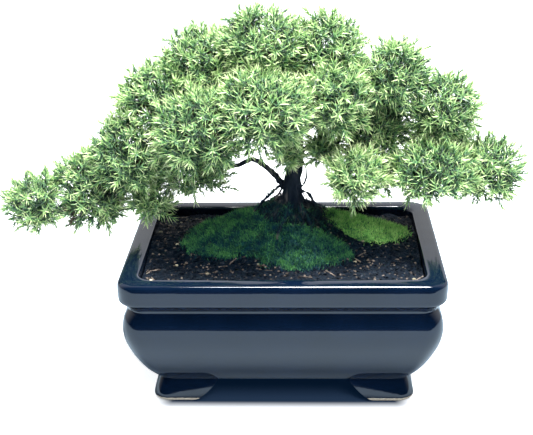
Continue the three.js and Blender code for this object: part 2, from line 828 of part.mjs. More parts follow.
const tree = new THREE.Group();
tree.add(meshOf("pot", potSolid(), materials.glaze));
for (const [word, side] of [["left", -1], ["right", 1]]) {
  const place = [(side * drainHoleSpacing) / 2, 0, floorHeight + clearance];
  tree.add(meshOf(`drain_screen_${word}`, screenSolid(), materials.screen, place));
}
const rootHole = trunkAndRoots(clearance);
const soil = largestBody(soilSolid().subtract(rootHole));
tree.add(meshOf("soil", soil, materials.soil));
const underMoss = copied(soilSolid(), clearance);
for (const mat of mossMats) {
  const moss = largestBody(mossCushion(mat).subtract(underMoss).subtract(rootHole));
  const material = new THREE.MeshStandardMaterial({ color: mat.colour, roughness: 0.95 });
  tree.add(meshOf(mat.name, moss, material));
}
const wood = woodSolid();
tree.add(meshOf("wood", wood, materials.bark));
for (const spray of growSprays(wood)) {
  tree.add(sprayMesh(spray));
}

// The origin is below the middle of the whole tree, on the surface that the pot stands on.
const extent = new THREE.Box3().setFromObject(tree);
const middle = extent.getCenter(new THREE.Vector3());
tree.position.set(-middle.x, -middle.y, -extent.min.z);
const bonsai = new THREE.Group();
bonsai.name = "dwarf_juniper_bonsai";
bonsai.add(tree);

export default bonsai;
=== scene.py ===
# A dwarf juniper bonsai in a glazed rectangular pot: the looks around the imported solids.
# Metres, +Z up, -Y to the front. Places given in mm are measured from the floor below the pot's middle.
import math

import bpy
import numpy as np
from mathutils import Matrix, Vector, noise
from mathutils.bvhtree import BVHTree


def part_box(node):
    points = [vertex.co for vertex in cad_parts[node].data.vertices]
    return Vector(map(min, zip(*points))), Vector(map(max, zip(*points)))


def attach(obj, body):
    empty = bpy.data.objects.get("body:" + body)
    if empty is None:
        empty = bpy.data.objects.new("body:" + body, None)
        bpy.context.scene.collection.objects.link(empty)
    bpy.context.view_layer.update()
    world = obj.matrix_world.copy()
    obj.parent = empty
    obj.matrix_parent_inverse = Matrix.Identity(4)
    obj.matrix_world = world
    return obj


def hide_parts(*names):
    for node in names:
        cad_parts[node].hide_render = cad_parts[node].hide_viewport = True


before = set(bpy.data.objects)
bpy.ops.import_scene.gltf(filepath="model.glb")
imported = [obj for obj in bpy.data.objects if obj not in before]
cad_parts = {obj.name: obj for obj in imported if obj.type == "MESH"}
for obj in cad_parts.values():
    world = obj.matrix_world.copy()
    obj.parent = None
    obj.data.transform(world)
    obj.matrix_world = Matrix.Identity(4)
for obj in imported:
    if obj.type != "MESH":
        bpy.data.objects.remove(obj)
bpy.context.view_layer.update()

# The pot: one piece of stoneware in the form of a rounded rectangle, with a thick rolled lip, a groove under it,
# a belly that draws in to the underside, and four bracket feet. Body and feet are stacks of rounded rectangles,
# joined before the drain holes are cut. Dipped in a dark glaze that is wiped off the soles of the feet.
MM = 0.001
pot_low, pot_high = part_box("pot")
pot_middle = Vector(((pot_low.x + pot_high.x) / 2, (pot_low.y + pot_high.y) / 2, 0))
rim_half_x = (pot_high.x - pot_low.x) / 2
rim_half_y = (pot_high.y - pot_low.y) / 2
corner_radius = 8.5 * MM
corner_segments = 9
# The outline from the underside over the lip and down the inside: inset from the rim's face, and height
body_profile_mm = [
    (21.5, 12.6), (19.2, 13.3), (17.4, 14.6), (11.8, 21.4), (6.7, 30.5), (2.9, 40), (1.5, 48), (2.3, 55),
    (4, 58.6), (4.9, 60.2), (4, 62.6), (1.6, 64.8), (0.3, 66.4), (0, 69), (0, 75.4), (0.8, 77.3), (2.6, 78),
    (9.2, 78), (10.7, 77.2), (11.2, 75.5), (11.4, 48), (12.4, 36), (15.4, 26), (21, 18.6),
]
foot_profile_mm = [(18.6, 0), (16.9, 0.8), (15.9, 2.2), (16.2, 4.8), (17.5, 9.4), (19.4, 14.8)]
profile_steps = 3
foot_contact_end_mm = 36
foot_bend_mm = 8
foot_bend_height_mm = 1.2
foot_tip_mm = 53
foot_top_mm = 12.9
arch_steps = 12
arch_margin_below = 0.01
arch_margin_above = 0.02
drain_hole_diameter = 12 * MM
drain_hole_spacing = 76 * MM
drain_drill_length = 0.03
drain_drill_height = 0.016


def select_only(*pieces):
    """Selects nothing but these pieces, and makes the first of them the active one."""
    bpy.ops.object.select_all(action="DESELECT")
    for piece in pieces:
        piece.select_set(True)
    bpy.context.view_layer.objects.active = pieces[0]


def new_primitive(add, **sizes):
    """Adds a primitive by its operator, so that nothing else is selected."""
    bpy.ops.object.select_all(action="DESELECT")
    add(**sizes)
    return bpy.context.active_object


def new_object(name, data):
    """Puts an object with this mesh, light or lens into the scene."""
    made = bpy.data.objects.new(name, data)
    bpy.context.collection.objects.link(made)
    return made


def face_outwards():
    """Points all faces of the mesh that is being edited outwards, and ends the edit."""
    bpy.ops.mesh.select_all(action="SELECT")
    bpy.ops.mesh.normals_make_consistent(inside=False)
    bpy.ops.object.mode_set(mode="OBJECT")


def apply_modifier(piece, modifier):
    """Makes what a modifier does part of the piece's mesh."""
    bpy.context.view_layer.objects.active = piece
    bpy.ops.object.modifier_apply(modifier=modifier.name)


def smooth_profile(points, steps):
    """The profile with a smooth curve through its points, cut into a number of steps between each two."""
    points = np.array(points, float)
    padded = np.vstack([2 * points[0] - points[1], points, 2 * points[-1] - points[-2]])
    curve = []
    for i in range(1, len(padded) - 2):
        before, start, end, after = padded[i - 1 : i + 3]
        for step in range(steps):
            t = step / steps
            reach = np.linalg.norm(end - start)
            leave = (end - before) / (np.linalg.norm(end - before) + 1e-9) * reach
            arrive = (after - start) / (np.linalg.norm(after - start) + 1e-9) * reach
            curve.append(
                (2 * t**3 - 3 * t**2 + 1) * start
                + (t**3 - 2 * t**2 + t) * leave
                + (3 * t**2 - 2 * t**3) * end
                + (t**3 - t**2) * arrive
            )
    return curve + [points[-1]]


def stack_of_rectangles(name, profile_mm):
    """A closed body that grows from its bottom face ring by ring, each set in from the rim's face."""
    body = new_primitive(bpy.ops.mesh.primitive_plane_add, size=1)
    body.name = name
    bpy.ops.object.mode_set(mode="EDIT")
    inset, height = profile_mm[0]
    half_x, half_y = rim_half_x - inset * MM, rim_half_y - inset * MM
    bpy.ops.transform.resize(value=(2 * half_x, 2 * half_y, 1))
    bpy.ops.transform.translate(value=(0, 0, height * MM))
    bpy.ops.mesh.bevel(offset=corner_radius, segments=corner_segments, affect="VERTICES")
    for next_inset, next_height in profile_mm[1:]:
        rise = (next_height - height) * MM
        bpy.ops.mesh.extrude_region_move(TRANSFORM_OT_translate={"value": (0, 0, rise)})
        next_half_x, next_half_y = rim_half_x - next_inset * MM, rim_half_y - next_inset * MM
        bpy.ops.transform.resize(
            value=(next_half_x / half_x, next_half_y / half_y, 1), center_override=(0, 0, 0)
        )
        half_x, half_y, height = next_half_x, next_half_y, next_height
    face_outwards()
    body.data.transform(Matrix.Translation(pot_middle))
    return body


def gap_between_feet(name, half_size, half_run):
    """The arched space between two feet, seen square to a side of the pot, as a bar that cuts it out."""
    contact = half_size - foot_contact_end_mm * MM
    tip = half_size - foot_tip_mm * MM
    side = [(contact, -arch_margin_below)]
    for step in range(arch_steps + 1):
        t = step / arch_steps
        out = contact * (1 - t) ** 2 + (contact - foot_bend_mm * MM) * 2 * t * (1 - t) + tip * t**2
        side.append((out, foot_bend_height_mm * MM * 2 * t * (1 - t) + foot_top_mm * MM * t**2))
    side.append((tip, arch_margin_above))
    outline = side + [(-x, z) for x, z in reversed(side)]
    mesh = bpy.data.meshes.new(name)
    mesh.from_pydata([(x, -half_run, z) for x, z in outline], [], [range(len(outline))])
    bar = new_object(name, mesh)
    select_only(bar)
    bpy.ops.object.mode_set(mode="EDIT")
    bpy.ops.mesh.select_all(action="SELECT")
    bpy.ops.mesh.extrude_region_move(TRANSFORM_OT_translate={"value": (0, 2 * half_run, 0)})
    face_outwards()
    return bar


def combine(body, other, operation):
    """Joins a second piece to a body, or cuts it out, and removes the second piece."""
    modifier = body.modifiers.new(operation.lower(), "BOOLEAN")
    modifier.operation = operation
    modifier.object = other
    modifier.solver = "EXACT"
    apply_modifier(body, modifier)
    bpy.data.objects.remove(other)


pot = stack_of_rectangles("glazed_pot", smooth_profile(body_profile_mm, profile_steps))
feet = stack_of_rectangles("feet", smooth_profile(foot_profile_mm, profile_steps))
crosswise_gap = gap_between_feet("crosswise_gap", rim_half_x, half_run=0.1)
crosswise_gap.data.transform(Matrix.Translation(pot_middle))
combine(feet, crosswise_gap, "DIFFERENCE")
lengthwise_gap = gap_between_feet("lengthwise_gap", rim_half_y, half_run=0.12)
lengthwise_gap.data.transform(Matrix.Translation(pot_middle) @ Matrix.Rotation(math.pi / 2, 4, "Z"))
combine(feet, lengthwise_gap, "DIFFERENCE")
edges = feet.modifiers.new("worn_edges", "BEVEL")
edges.width = 0.7 * MM
edges.segments = 3
edges.limit_method = "ANGLE"
edges.angle_limit = math.radians(38)
apply_modifier(feet, edges)
combine(pot, feet, "UNION")
for side in (-1, 1):
    drill = new_primitive(
        bpy.ops.mesh.primitive_cylinder_add,
        vertices=40,
        radius=drain_hole_diameter / 2,
        depth=drain_drill_length,
        location=pot_middle + Vector((side * drain_hole_spacing / 2, 0, drain_drill_height)),
    )
    combine(pot, drill, "DIFFERENCE")
select_only(pot)
bpy.ops.object.shade_smooth_by_angle(angle=math.radians(32))


def new_material(name):
    """A material with its node tree and its shader."""
    material = bpy.data.materials.new(name)
    material.use_nodes = True
    return material, material.node_tree, material.node_tree.nodes["Principled BSDF"]


def cover_with(piece, material):
    """Gives a piece this one material."""
    piece.data.materials.clear()
    piece.data.materials.append(material)


def ramp(tree, factor, stops):
    """A colour that follows a value through stops of place and colour."""
    node = tree.nodes.new("ShaderNodeValToRGB")
    while len(node.color_ramp.elements) < len(stops):
        node.color_ramp.elements.new(0.5)
    for element, (place, colour) in zip(node.color_ramp.elements, stops):
        element.position = place
        element.color = (*colour, 1)
    tree.links.new(factor, node.inputs["Fac"])
    return node.outputs["Color"]


def grain_group():
    """The node group for every grain: noise that lies fixed in a piece, finer and longer as its inputs say."""
    group = bpy.data.node_groups.new("grain", "ShaderNodeTree")
    for label, kind in (("Scale", "Float"), ("Detail", "Float"), ("Stretch", "Vector")):
        group.interface.new_socket(label, in_out="INPUT", socket_type="NodeSocket" + kind)
    group.interface.new_socket("Grain", in_out="OUTPUT", socket_type="NodeSocketFloat")
    wanted = group.nodes.new("NodeGroupInput")
    place = group.nodes.new("ShaderNodeTexCoord")
    mapping = group.nodes.new("ShaderNodeMapping")
    texture = group.nodes.new("ShaderNodeTexNoise")
    result = group.nodes.new("NodeGroupOutput")
    group.links.new(place.outputs["Object"], mapping.inputs["Vector"])
    group.links.new(wanted.outputs["Stretch"], mapping.inputs["Scale"])
    group.links.new(mapping.outputs["Vector"], texture.inputs["Vector"])
    group.links.new(wanted.outputs["Scale"], texture.inputs["Scale"])
    group.links.new(wanted.outputs["Detail"], texture.inputs["Detail"])
    group.links.new(texture.outputs["Fac"], result.inputs["Grain"])
    return group


grain_nodes = grain_group()


def grain(tree, scale, detail=3, stretch=(1, 1, 1)):
    """The grain group placed in a material, with features of about 1 / scale metres."""
    node = tree.nodes.new("ShaderNodeGroup")
    node.node_tree = grain_nodes
    node.inputs["Scale"].default_value = scale
    node.inputs["Detail"].default_value = detail
    node.inputs["Stretch"].default_value = stretch
    return node.outputs["Grain"]


def bump(tree, shader, height, distance, strength=1.0, under=None):
    """A bump of a real height in metres on the shader's normal, over another bump if one is given."""
    node = tree.nodes.new("ShaderNodeBump")
    node.inputs["Distance"].default_value = distance
    node.inputs["Strength"].default_value = strength
    tree.links.new(height, node.inputs["Height"])
    if under is not None:
        tree.links.new(under, node.inputs["Normal"])
    tree.links.new(node.outputs["Normal"], shader.inputs["Normal"])
    return node.outputs["Normal"]


def place_parts(tree, kind="Object"):
    """The X, Y and Z of a point as sockets."""
    place = tree.nodes.new("ShaderNodeTexCoord")
    parts = tree.nodes.new("ShaderNodeSeparateXYZ")
    tree.links.new(place.outputs[kind], parts.inputs["Vector"])
    return parts.outputs


def math_node(tree, operation, *values, clamp=False):
    """A sum, product or comparison of sockets and numbers."""
    node = tree.nodes.new("ShaderNodeMath")
    node.operation = operation
    node.use_clamp = clamp
    for socket, value in zip(node.inputs, values):
        if isinstance(value, (int, float)):
            socket.default_value = value
        else:
            tree.links.new(value, socket)
    return node.outputs["Value"]


def mixed(tree, factor, first, second):
    """A colour between two, each of them a colour or a socket."""
    node = tree.nodes.new("ShaderNodeMix")
    node.data_type = "RGBA"
    factor_socket, first_socket, second_socket = node.inputs[0], node.inputs[6], node.inputs[7]
    for socket, value in ((factor_socket, factor), (first_socket, first), (second_socket, second)):
        if isinstance(value, (int, float)):
            socket.default_value = value
        elif isinstance(value, tuple):
            socket.default_value = (*value, 1)
        else:
            tree.links.new(value, socket)
    return node.outputs[2]


wiped_height = 2.3 * MM
wiped_raggedness = 0.7 * MM
clay_roughness = 0.85
glaze, tree, shader = new_material("dark_glaze")
glaze_colour = ramp(tree, grain(tree, 45), [(0.3, (0.001, 0.0045, 0.013)), (0.7, (0.002, 0.007, 0.020))])
wiped_edge = math_node(tree, "MULTIPLY", grain(tree, 400, 2), wiped_raggedness)
wiped_edge = math_node(tree, "ADD", wiped_edge, wiped_height)
wiped = math_node(tree, "LESS_THAN", place_parts(tree)["Z"], wiped_edge)
clay_colour = ramp(tree, grain(tree, 900), [(0.3, (0.44, 0.38, 0.28)), (0.7, (0.66, 0.60, 0.48))])
tree.links.new(mixed(tree, wiped, glaze_colour, clay_colour), shader.inputs["Base Color"])
smears = math_node(tree, "MULTIPLY_ADD", grain(tree, 130, 4), 0.10, 0.015)
roughness = math_node(tree, "MAXIMUM", smears, math_node(tree, "MULTIPLY", wiped, clay_roughness))
tree.links.new(roughness, shader.inputs["Roughness"])
shader.inputs["IOR"].default_value = 1.52
waves = bump(tree, shader, grain(tree, 38, 1), 0.55 * MM, 0.5)
bump(tree, shader, grain(tree, 700, 2), 0.02 * MM, 0.5, under=waves)
cover_with(pot, glaze)
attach(pot, "root")
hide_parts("pot")

# The drain screens: squares of moulded plastic mesh that lie over the drain holes and keep the soil in.
# They stay as the solids make them, in matt black plastic that the damp soil has marked.
plastic, tree, shader = new_material("screen_plastic")
marked = ramp(tree, grain(tree, 500), [(0.35, (0.012, 0.012, 0.012)), (0.75, (0.035, 0.030, 0.026))])
tree.links.new(marked, shader.inputs["Base Color"])
tree.links.new(math_node(tree, "MULTIPLY_ADD", grain(tree, 900), 0.3, 0.4), shader.inputs["Roughness"])
bump(tree, shader, grain(tree, 1500), 0.05 * MM, 0.5)
for word in ("left", "right"):
    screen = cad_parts[f"drain_screen_{word}"]
    cover_with(screen, plastic)

# The soil: a damp, nearly black mix of composted bark with slivers of wood and a little pale grit, mounded up
# under the trunk. Its surface is a fine grid that follows the mound's formula, crumbled by noise. Crumbs of two
# kinds, slivers and grit lie half sunk in it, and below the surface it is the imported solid.
chance = np.random.default_rng(11)
soil_level_mm = 72
mound_height_mm = 29
mound_middle_mm = (1, 10)
mound_reach_mm = (46, 27)
mound_falloff = (1.25, 1.9)
soil_relief_mm = 0.7
crumb_layers = [(6, 0.7, 3), (2.2, 1.1, 7), (0.9, 0.5, 1)]  # size in mm, height in mm, layer of the noise
wall_inset_mm = 11.6
wall_corner_mm = 6.2
wall_margin_mm = 2
soil_grid_mm = 0.75
skirt_depth_mm = 8
body_top_from = 0.05
body_lowering_mm = 2.5
crumb_count = 1500
sliver_count = 70
bark_crumb_count = 1000
grit_count = 34
chip_tilt = 0.35
chip_flatness = 0.7
chip_rise = 0.12
deepest_shade = 0.75
chip_mark, grit_mark = 0.5, 1.0  # the kind of soil is the first stored value, and its shade the second


def soil_height(x, y):
    """The height of the soil in mm at a place in mm from the middle of the pot."""
    along_x = (abs(x - mound_middle_mm[0]) / mound_reach_mm[0]) ** mound_falloff[0]
    along_y = (abs(y - mound_middle_mm[1]) / mound_reach_mm[1]) ** mound_falloff[1]
    relief = math.sin(0.37 * x + 1.2 * math.sin(0.21 * y)) * math.sin(0.41 * y - 0.6)
    return soil_level_mm + mound_height_mm * math.exp(-along_x - along_y) + soil_relief_mm * relief


def crumbled(x, y):
    """How far the crumbs of the soil stand up or lie sunk, in mm."""
    return sum(noise.noise(Vector((x, y, layer)) / size) * height for size, height, layer in crumb_layers)


def in_frame(x, y, z):
    """A place in mm from the floor below the pot's middle, in metres in the frame."""
    return Vector((pot_middle.x + x * MM, pot_middle.y + y * MM, z * MM))


def mesh_object(name, vertices, faces, material):
    """An object from arrays of corners and of faces with equally many corners."""
    mesh = bpy.data.meshes.new(name)
    faces = np.asarray(faces, np.int32)
    mesh.vertices.add(len(vertices))
    mesh.vertices.foreach_set("co", np.asarray(vertices, np.float32).ravel())
    mesh.loops.add(faces.size)
    mesh.loops.foreach_set("vertex_index", faces.ravel())
    mesh.polygons.add(len(faces))
    mesh.polygons.foreach_set("loop_start", np.arange(len(faces), dtype=np.int32) * faces.shape[1])
    mesh.update(calc_edges=True)
    mesh.shade_flat()
    mesh.materials.append(material)
    return new_object(name, mesh)


def corner_places(piece):
    """The places of a piece's corner points, as an array."""
    return np.array([vertex.co[:] for vertex in piece.data.vertices])


def taken_apart(piece):
    """The corners and faces of a piece that is only a model for copies, which is then removed."""
    corners, faces = corner_places(piece), np.array([face.vertices[:] for face in piece.data.polygons])
    bpy.data.objects.remove(piece)
    return corners, faces


def tint_attribute(made, values):
    """Stores up to four values for each corner point, or for all alike, which the material reads."""
    attribute = made.data.attributes.new("tint", "FLOAT_COLOR", "POINT")
    padded = np.ones((len(made.data.vertices), 4), np.float32)
    padded[:, : values.shape[-1]] = values
    attribute.data.foreach_set("color", padded.ravel())


def joined(name, pieces):
    """One object from several."""
    select_only(*pieces)
    bpy.ops.object.join()
    pieces[0].name = name
    return pieces[0]


def tints(tree):
    """The four values that are stored for each corner point, as sockets."""
    attribute = tree.nodes.new("ShaderNodeAttribute")
    attribute.attribute_name = "tint"
    parts = tree.nodes.new("ShaderNodeSeparateColor")
    tree.links.new(attribute.outputs["Color"], parts.inputs["Color"])
    return parts.outputs["Red"], parts.outputs["Green"], parts.outputs["Blue"], attribute.outputs["Alpha"]


soil_mix, tree, shader = new_material("damp_bark_mix")
kind, shade, _, _ = tints(tree)
# The damp mix is nearly black of itself. Its darkest, bluish stops are painted shade in the gaps between crumbs,
# and its grey stop paints glints on wet grains.
mix_with_painted_shade_and_glints = ramp(
    tree,
    grain(tree, 420, 5),
    [
        (0.40, (0.001, 0.004, 0.010)),
        (0.62, (0.0025, 0.009, 0.019)),
        (0.70, (0.030, 0.035, 0.045)),
        (0.84, (0.20, 0.20, 0.20)),
    ],
)
bark_chip = ramp(
    tree, grain(tree, 300, 4, (1, 1, 3)), [(0.35, (0.030, 0.026, 0.025)), (0.65, (0.34, 0.27, 0.22))]
)
chipped = mixed(tree, math_node(tree, "GREATER_THAN", kind, chip_mark - 0.2), mix_with_painted_shade_and_glints, bark_chip)
gritty = mixed(tree, math_node(tree, "GREATER_THAN", kind, grit_mark - 0.2), chipped, (0.68, 0.60, 0.42))
tree.links.new(mixed(tree, shade, gritty, (0.002, 0.004, 0.008)), shader.inputs["Base Color"])
tree.links.new(math_node(tree, "MULTIPLY_ADD", grain(tree, 300), 0.7, 0.3), shader.inputs["Roughness"])
shader.inputs["Specular IOR Level"].default_value = 0.22
bump(tree, shader, grain(tree, 1300, 5), 0.9 * MM, 1.0)

half_x_mm = rim_half_x / MM - wall_inset_mm
half_y_mm = rim_half_y / MM - wall_inset_mm
columns = round(2 * half_x_mm / soil_grid_mm)
rows = round(2 * half_y_mm / soil_grid_mm)
soil_top = new_primitive(bpy.ops.mesh.primitive_grid_add, x_subdivisions=columns, y_subdivisions=rows, size=2)
for vertex in soil_top.data.vertices:
    x, y = vertex.co.x * half_x_mm, vertex.co.y * half_y_mm
    out_x = abs(x) - (half_x_mm - wall_corner_mm)
    out_y = abs(y) - (half_y_mm - wall_corner_mm)
    if out_x > 0 and out_y > 0 and math.hypot(out_x, out_y) > wall_corner_mm:
        share = wall_corner_mm / math.hypot(out_x, out_y)
        x = math.copysign(half_x_mm - wall_corner_mm + out_x * share, x)
        y = math.copysign(half_y_mm - wall_corner_mm + out_y * share, y)
    vertex.co = in_frame(x, y, soil_height(x, y) + crumbled(x, y))
bpy.ops.object.mode_set(mode="EDIT")
bpy.ops.mesh.select_all(action="SELECT")
bpy.ops.mesh.region_to_loop()
bpy.ops.mesh.extrude_edges_move(TRANSFORM_OT_translate={"value": (0, 0, -skirt_depth_mm * MM)})
bpy.ops.mesh.edge_face_add()
face_outwards()
cover_with(soil_top, soil_mix)
tint_attribute(soil_top, np.zeros(3))


def rough_stone(roughness):
    """A low lump of 20 faces that is pulled out of shape at random, about one unit across."""
    corners, faces = taken_apart(new_primitive(bpy.ops.mesh.primitive_ico_sphere_add, subdivisions=1, radius=0.5))
    return corners * (1 + roughness * (chance.random((len(corners), 1)) - 0.5)), faces


def split_chip():
    """A sliver of bark of unit length, thin and drawn to blunt ends, with 20 faces."""
    rod = bpy.ops.mesh.primitive_cylinder_add
    chip = new_primitive(rod, vertices=5, radius=0.5, depth=1, end_fill_type="TRIFAN")
    bpy.ops.object.mode_set(mode="EDIT")
    bpy.ops.mesh.quads_convert_to_tris()
    bpy.ops.object.mode_set(mode="OBJECT")
    corners, faces = taken_apart(chip)
    return corners[:, [2, 0, 1]], faces


def strewn(name, model, count, low_mm, high_mm, slimness, mark):
    """Copies of one lump or chip, turned at random and half sunk over the whole of the soil."""
    corners, triangles = model
    vertices, faces, stored = [], [], []
    for number in range(count):
        x = chance.uniform(-half_x_mm + wall_margin_mm, half_x_mm - wall_margin_mm)
        y = chance.uniform(-half_y_mm + wall_margin_mm, half_y_mm - wall_margin_mm)
        size = chance.uniform(low_mm, high_mm)
        turned = Matrix.Rotation(chance.uniform(0, math.tau), 3, "Z")
        turned = turned @ Matrix.Rotation(chance.uniform(-chip_tilt, chip_tilt), 3, "Y")
        stretched = corners * (size, size * slimness, size * slimness * chip_flatness)
        stretched = stretched @ np.array(turned).T
        height = soil_height(x, y) + crumbled(x, y) + chip_rise * size * slimness
        faces.append(triangles + len(corners) * number)
        vertices.append(stretched * MM + np.array(in_frame(x, y, height)))
        stored.append(np.tile([mark, chance.uniform(0, deepest_shade), 0], (len(corners), 1)))
    made = mesh_object(name, np.vstack(vertices), np.vstack(faces), soil_mix)
    tint_attribute(made, np.vstack(stored))
    return made


soil_body = new_object("soil_body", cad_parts["soil"].data.copy())
cover_with(soil_body, soil_mix)
lowered = corner_places(soil_body)
lowered[:, 2] -= np.where(lowered[:, 2] > body_top_from, body_lowering_mm * MM, 0)
soil_body.data.vertices.foreach_set("co", lowered.astype(np.float32).ravel())
tint_attribute(soil_body, np.zeros(3))
soil = joined(
    "potting_mix",
    [
        soil_top,
        soil_body,
        strewn("crumbs", rough_stone(0.5), crumb_count, 1.0, 3.4, 0.8, 0.0),
        strewn("bark_crumbs", rough_stone(0.6), bark_crumb_count, 0.7, 2.2, 0.7, chip_mark),
        strewn("slivers", split_chip(), sliver_count, 4.0, 12.0, 0.13, chip_mark),
        strewn("grit", rough_stone(0.3), grit_count, 1.4, 3.2, 0.9, grit_mark),
    ],
)
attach(soil, "root")
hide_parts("soil")

# The moss: two mats of cushion moss pressed onto the mound. The mat at the front and left is painted dark and
# bluish for the shade it lies in, and the mat on the right is painted bright for the light it catches. Each is the
# imported mat, finely divided and lumpy, with thousands of short leafy stems. Some creep out over its edge, and
# dark threads of it cover the mound and the surface roots.
stem_density_per_mm2 = 2.4
stem_lengths_mm = (1.8, 4.2)
stem_width_mm = 0.6
stem_root_mm = 0.4
cushion_lump_mm = 5
cushion_lump_height_mm = 2.0
creeping_share = 0.35
creep_mm = 2.2
mat_edge_mm = 3.5
mound_threads = {"moss_front": 2600, "moss_right": 0}
trunk_place_mm = (5, 8)
thread_ring_mm = (9, 27)
thread_ring_stretch = (1.15, 0.85)
highest_root_mm = 9
least_upward = 0.15
tip_paleness = 0.95
stem_shades = (-0.3, 0.35)
thread_darkening = 0.25
# Painted light and shade: the front mat's dark, bluish colours stand for shade, and the right mat's bright ones
# for light that falls on it.
moss_colours_with_painted_light = {
    "moss_front": [(0.0, (0.001, 0.020, 0.045)), (0.5, (0.008, 0.068, 0.058)), (1.0, (0.12, 0.37, 0.10))],
    "moss_right": [(0.0, (0.02, 0.10, 0.05)), (0.5, (0.28, 0.66, 0.16)), (1.0, (0.68, 0.95, 0.34))],
}
solid_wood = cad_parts["wood"].data
wood_surface = BVHTree.FromPolygons(
    [vertex.co for vertex in solid_wood.vertices], [face.vertices for face in solid_wood.polygons]
)


def smoothed_copy(node, levels):
    """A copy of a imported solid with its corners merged, divided finer and smoothed."""
    made = new_object(node.name + "_fine", node.data.copy())
    select_only(made)
    bpy.ops.object.mode_set(mode="EDIT")
    bpy.ops.mesh.select_all(action="SELECT")
    bpy.ops.mesh.remove_doubles(threshold=0.02 * MM)
    bpy.ops.object.mode_set(mode="OBJECT")
    if levels:
        finer = made.modifiers.new("finer", "SUBSURF")
        finer.levels = finer.render_levels = levels
        apply_modifier(made, finer)
    return made


def on_the_ground(x_mm, y_mm):
    """The point on the soil or on a surface root over a place in the pot."""
    reach = highest_root_mm * MM
    low = in_frame(x_mm, y_mm, soil_height(x_mm, y_mm) + 0.2)
    hit, _, _, _ = wood_surface.ray_cast(low + Vector((0, 0, reach)), Vector((0, 0, -1)), reach)
    return np.array(hit if hit else low)


def stem_feet(cushion, thread_count):
    """Where the stems stand and which way is up there: all over the cushion, round its edge and on the mound."""
    points = corner_places(cushion)
    corners = points[np.array([triangle.vertices[:] for triangle in cushion.data.loop_triangles])]
    across = np.cross(corners[:, 1] - corners[:, 0], corners[:, 2] - corners[:, 0])
    areas = np.linalg.norm(across, axis=1) / 2
    upward = across[:, 2] / (2 * areas + 1e-12)
    weights = np.where(upward > least_upward, areas, 0)
    count = int(weights.sum() / MM**2 * stem_density_per_mm2)
    picked = chance.choice(len(corners), count, p=weights / weights.sum())
    mix = chance.dirichlet((1, 1, 1), count)
    feet = np.einsum("ij,ijk->ik", mix, corners[picked])
    upright = across[picked] / (2 * areas[picked, None])
    edge = points[points[:, 2] < points[:, 2].min() + mat_edge_mm * MM] / MM - np.array(in_frame(0, 0, 0)) / MM
    edge = edge[chance.integers(len(edge), size=int(creeping_share * count)), :2]
    edge = edge + chance.normal(0, creep_mm, edge.shape)
    angles = chance.uniform(0, math.tau, thread_count)
    ring = chance.uniform(*thread_ring_mm, thread_count)
    mound_x = trunk_place_mm[0] + thread_ring_stretch[0] * ring * np.cos(angles)
    mound_y = trunk_place_mm[1] + thread_ring_stretch[1] * ring * np.sin(angles)
    mound = np.stack([mound_x, mound_y], axis=1)
    strays = np.array([on_the_ground(x, y) for x, y in np.vstack([edge, mound])])
    upright = np.vstack([upright, np.tile((0.0, 0.0, 1.0), (len(strays), 1))])
    return np.vstack([feet, strays]), upright


def moss_stems(name, feet, upright, thread_count, material):
    """A short three-sided spike for each foot, paler towards its tip, and darker where it is a thread."""
    count = len(feet)
    lean = upright + chance.normal(0, 0.5, (count, 3)) + (0, 0, 0.2)
    lean /= np.linalg.norm(lean, axis=1)[:, None]
    lengths = chance.uniform(*stem_lengths_mm, (count, 1)) * MM
    side = np.cross(lean, chance.normal(0, 1, (count, 3)))
    side *= stem_width_mm * MM / 2 / np.linalg.norm(side, axis=1)[:, None]
    other_side = np.cross(lean, side)
    roots = feet - lean * stem_root_mm * MM
    vertices = np.stack(
        [
            roots + side,
            roots - side / 2 + other_side * 0.87,
            roots - side / 2 - other_side * 0.87,
            roots + lean * lengths,
        ],
        axis=1,
    ).reshape(-1, 3)
    one = np.array([[0, 2, 1], [0, 1, 3], [1, 2, 3], [2, 0, 3]])
    faces = (one[None] + 4 * np.arange(count)[:, None, None]).reshape(-1, 3)
    stems = mesh_object(name, vertices, faces, material)
    stored = np.zeros((count, 4, 3), np.float32)
    stored[:, :, 0] = (0.0, 0.0, 0.0, tip_paleness)
    stored[:, :, 1] = chance.uniform(*stem_shades, (count, 1))
    stored[count - thread_count :, :, 1] -= thread_darkening
    tint_attribute(stems, stored.reshape(-1, 3))
    return stems


for name, stops in moss_colours_with_painted_light.items():
    moss_green, tree, shader = new_material(name + "_green")
    up_stem, shade, _, _ = tints(tree)
    patchy = math_node(tree, "MULTIPLY_ADD", grain(tree, 120, 4), 1.6, -0.8)
    level = math_node(tree, "ADD", up_stem, math_node(tree, "ADD", shade, patchy), clamp=True)
    tree.links.new(ramp(tree, level, stops), shader.inputs["Base Color"])
    shader.inputs["Roughness"].default_value = 0.75
    bump(tree, shader, grain(tree, 2500), 0.2 * MM, 0.5)
    cushion = smoothed_copy(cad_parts[name], 1)
    for vertex in cushion.data.vertices:
        if vertex.normal.z > 0:
            vertex.co.z += noise.noise(vertex.co / (cushion_lump_mm * MM)) * cushion_lump_height_mm * MM
    cover_with(cushion, moss_green)
    cushion.data.calc_loop_triangles()
    tint_attribute(cushion, np.full(3, 0.12))
    feet_of_stems, upright = stem_feet(cushion, mound_threads[name])
    stems = moss_stems(name + "_stems", feet_of_stems, upright, mound_threads[name], moss_green)
    mat = joined(name + "_mat", [cushion, stems])
    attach(mat, "root")
    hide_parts(name)

# The wood: a short trunk that swells into exposed roots, and long limbs that arch out of it. The bark is dark,
# fibrous and damp low down, with a few pale worn streaks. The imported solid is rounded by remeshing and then
# furrowed along its length, and fine side roots cling round the base.
bark_grain_mm = 0.55
trunk_reach_mm = 14
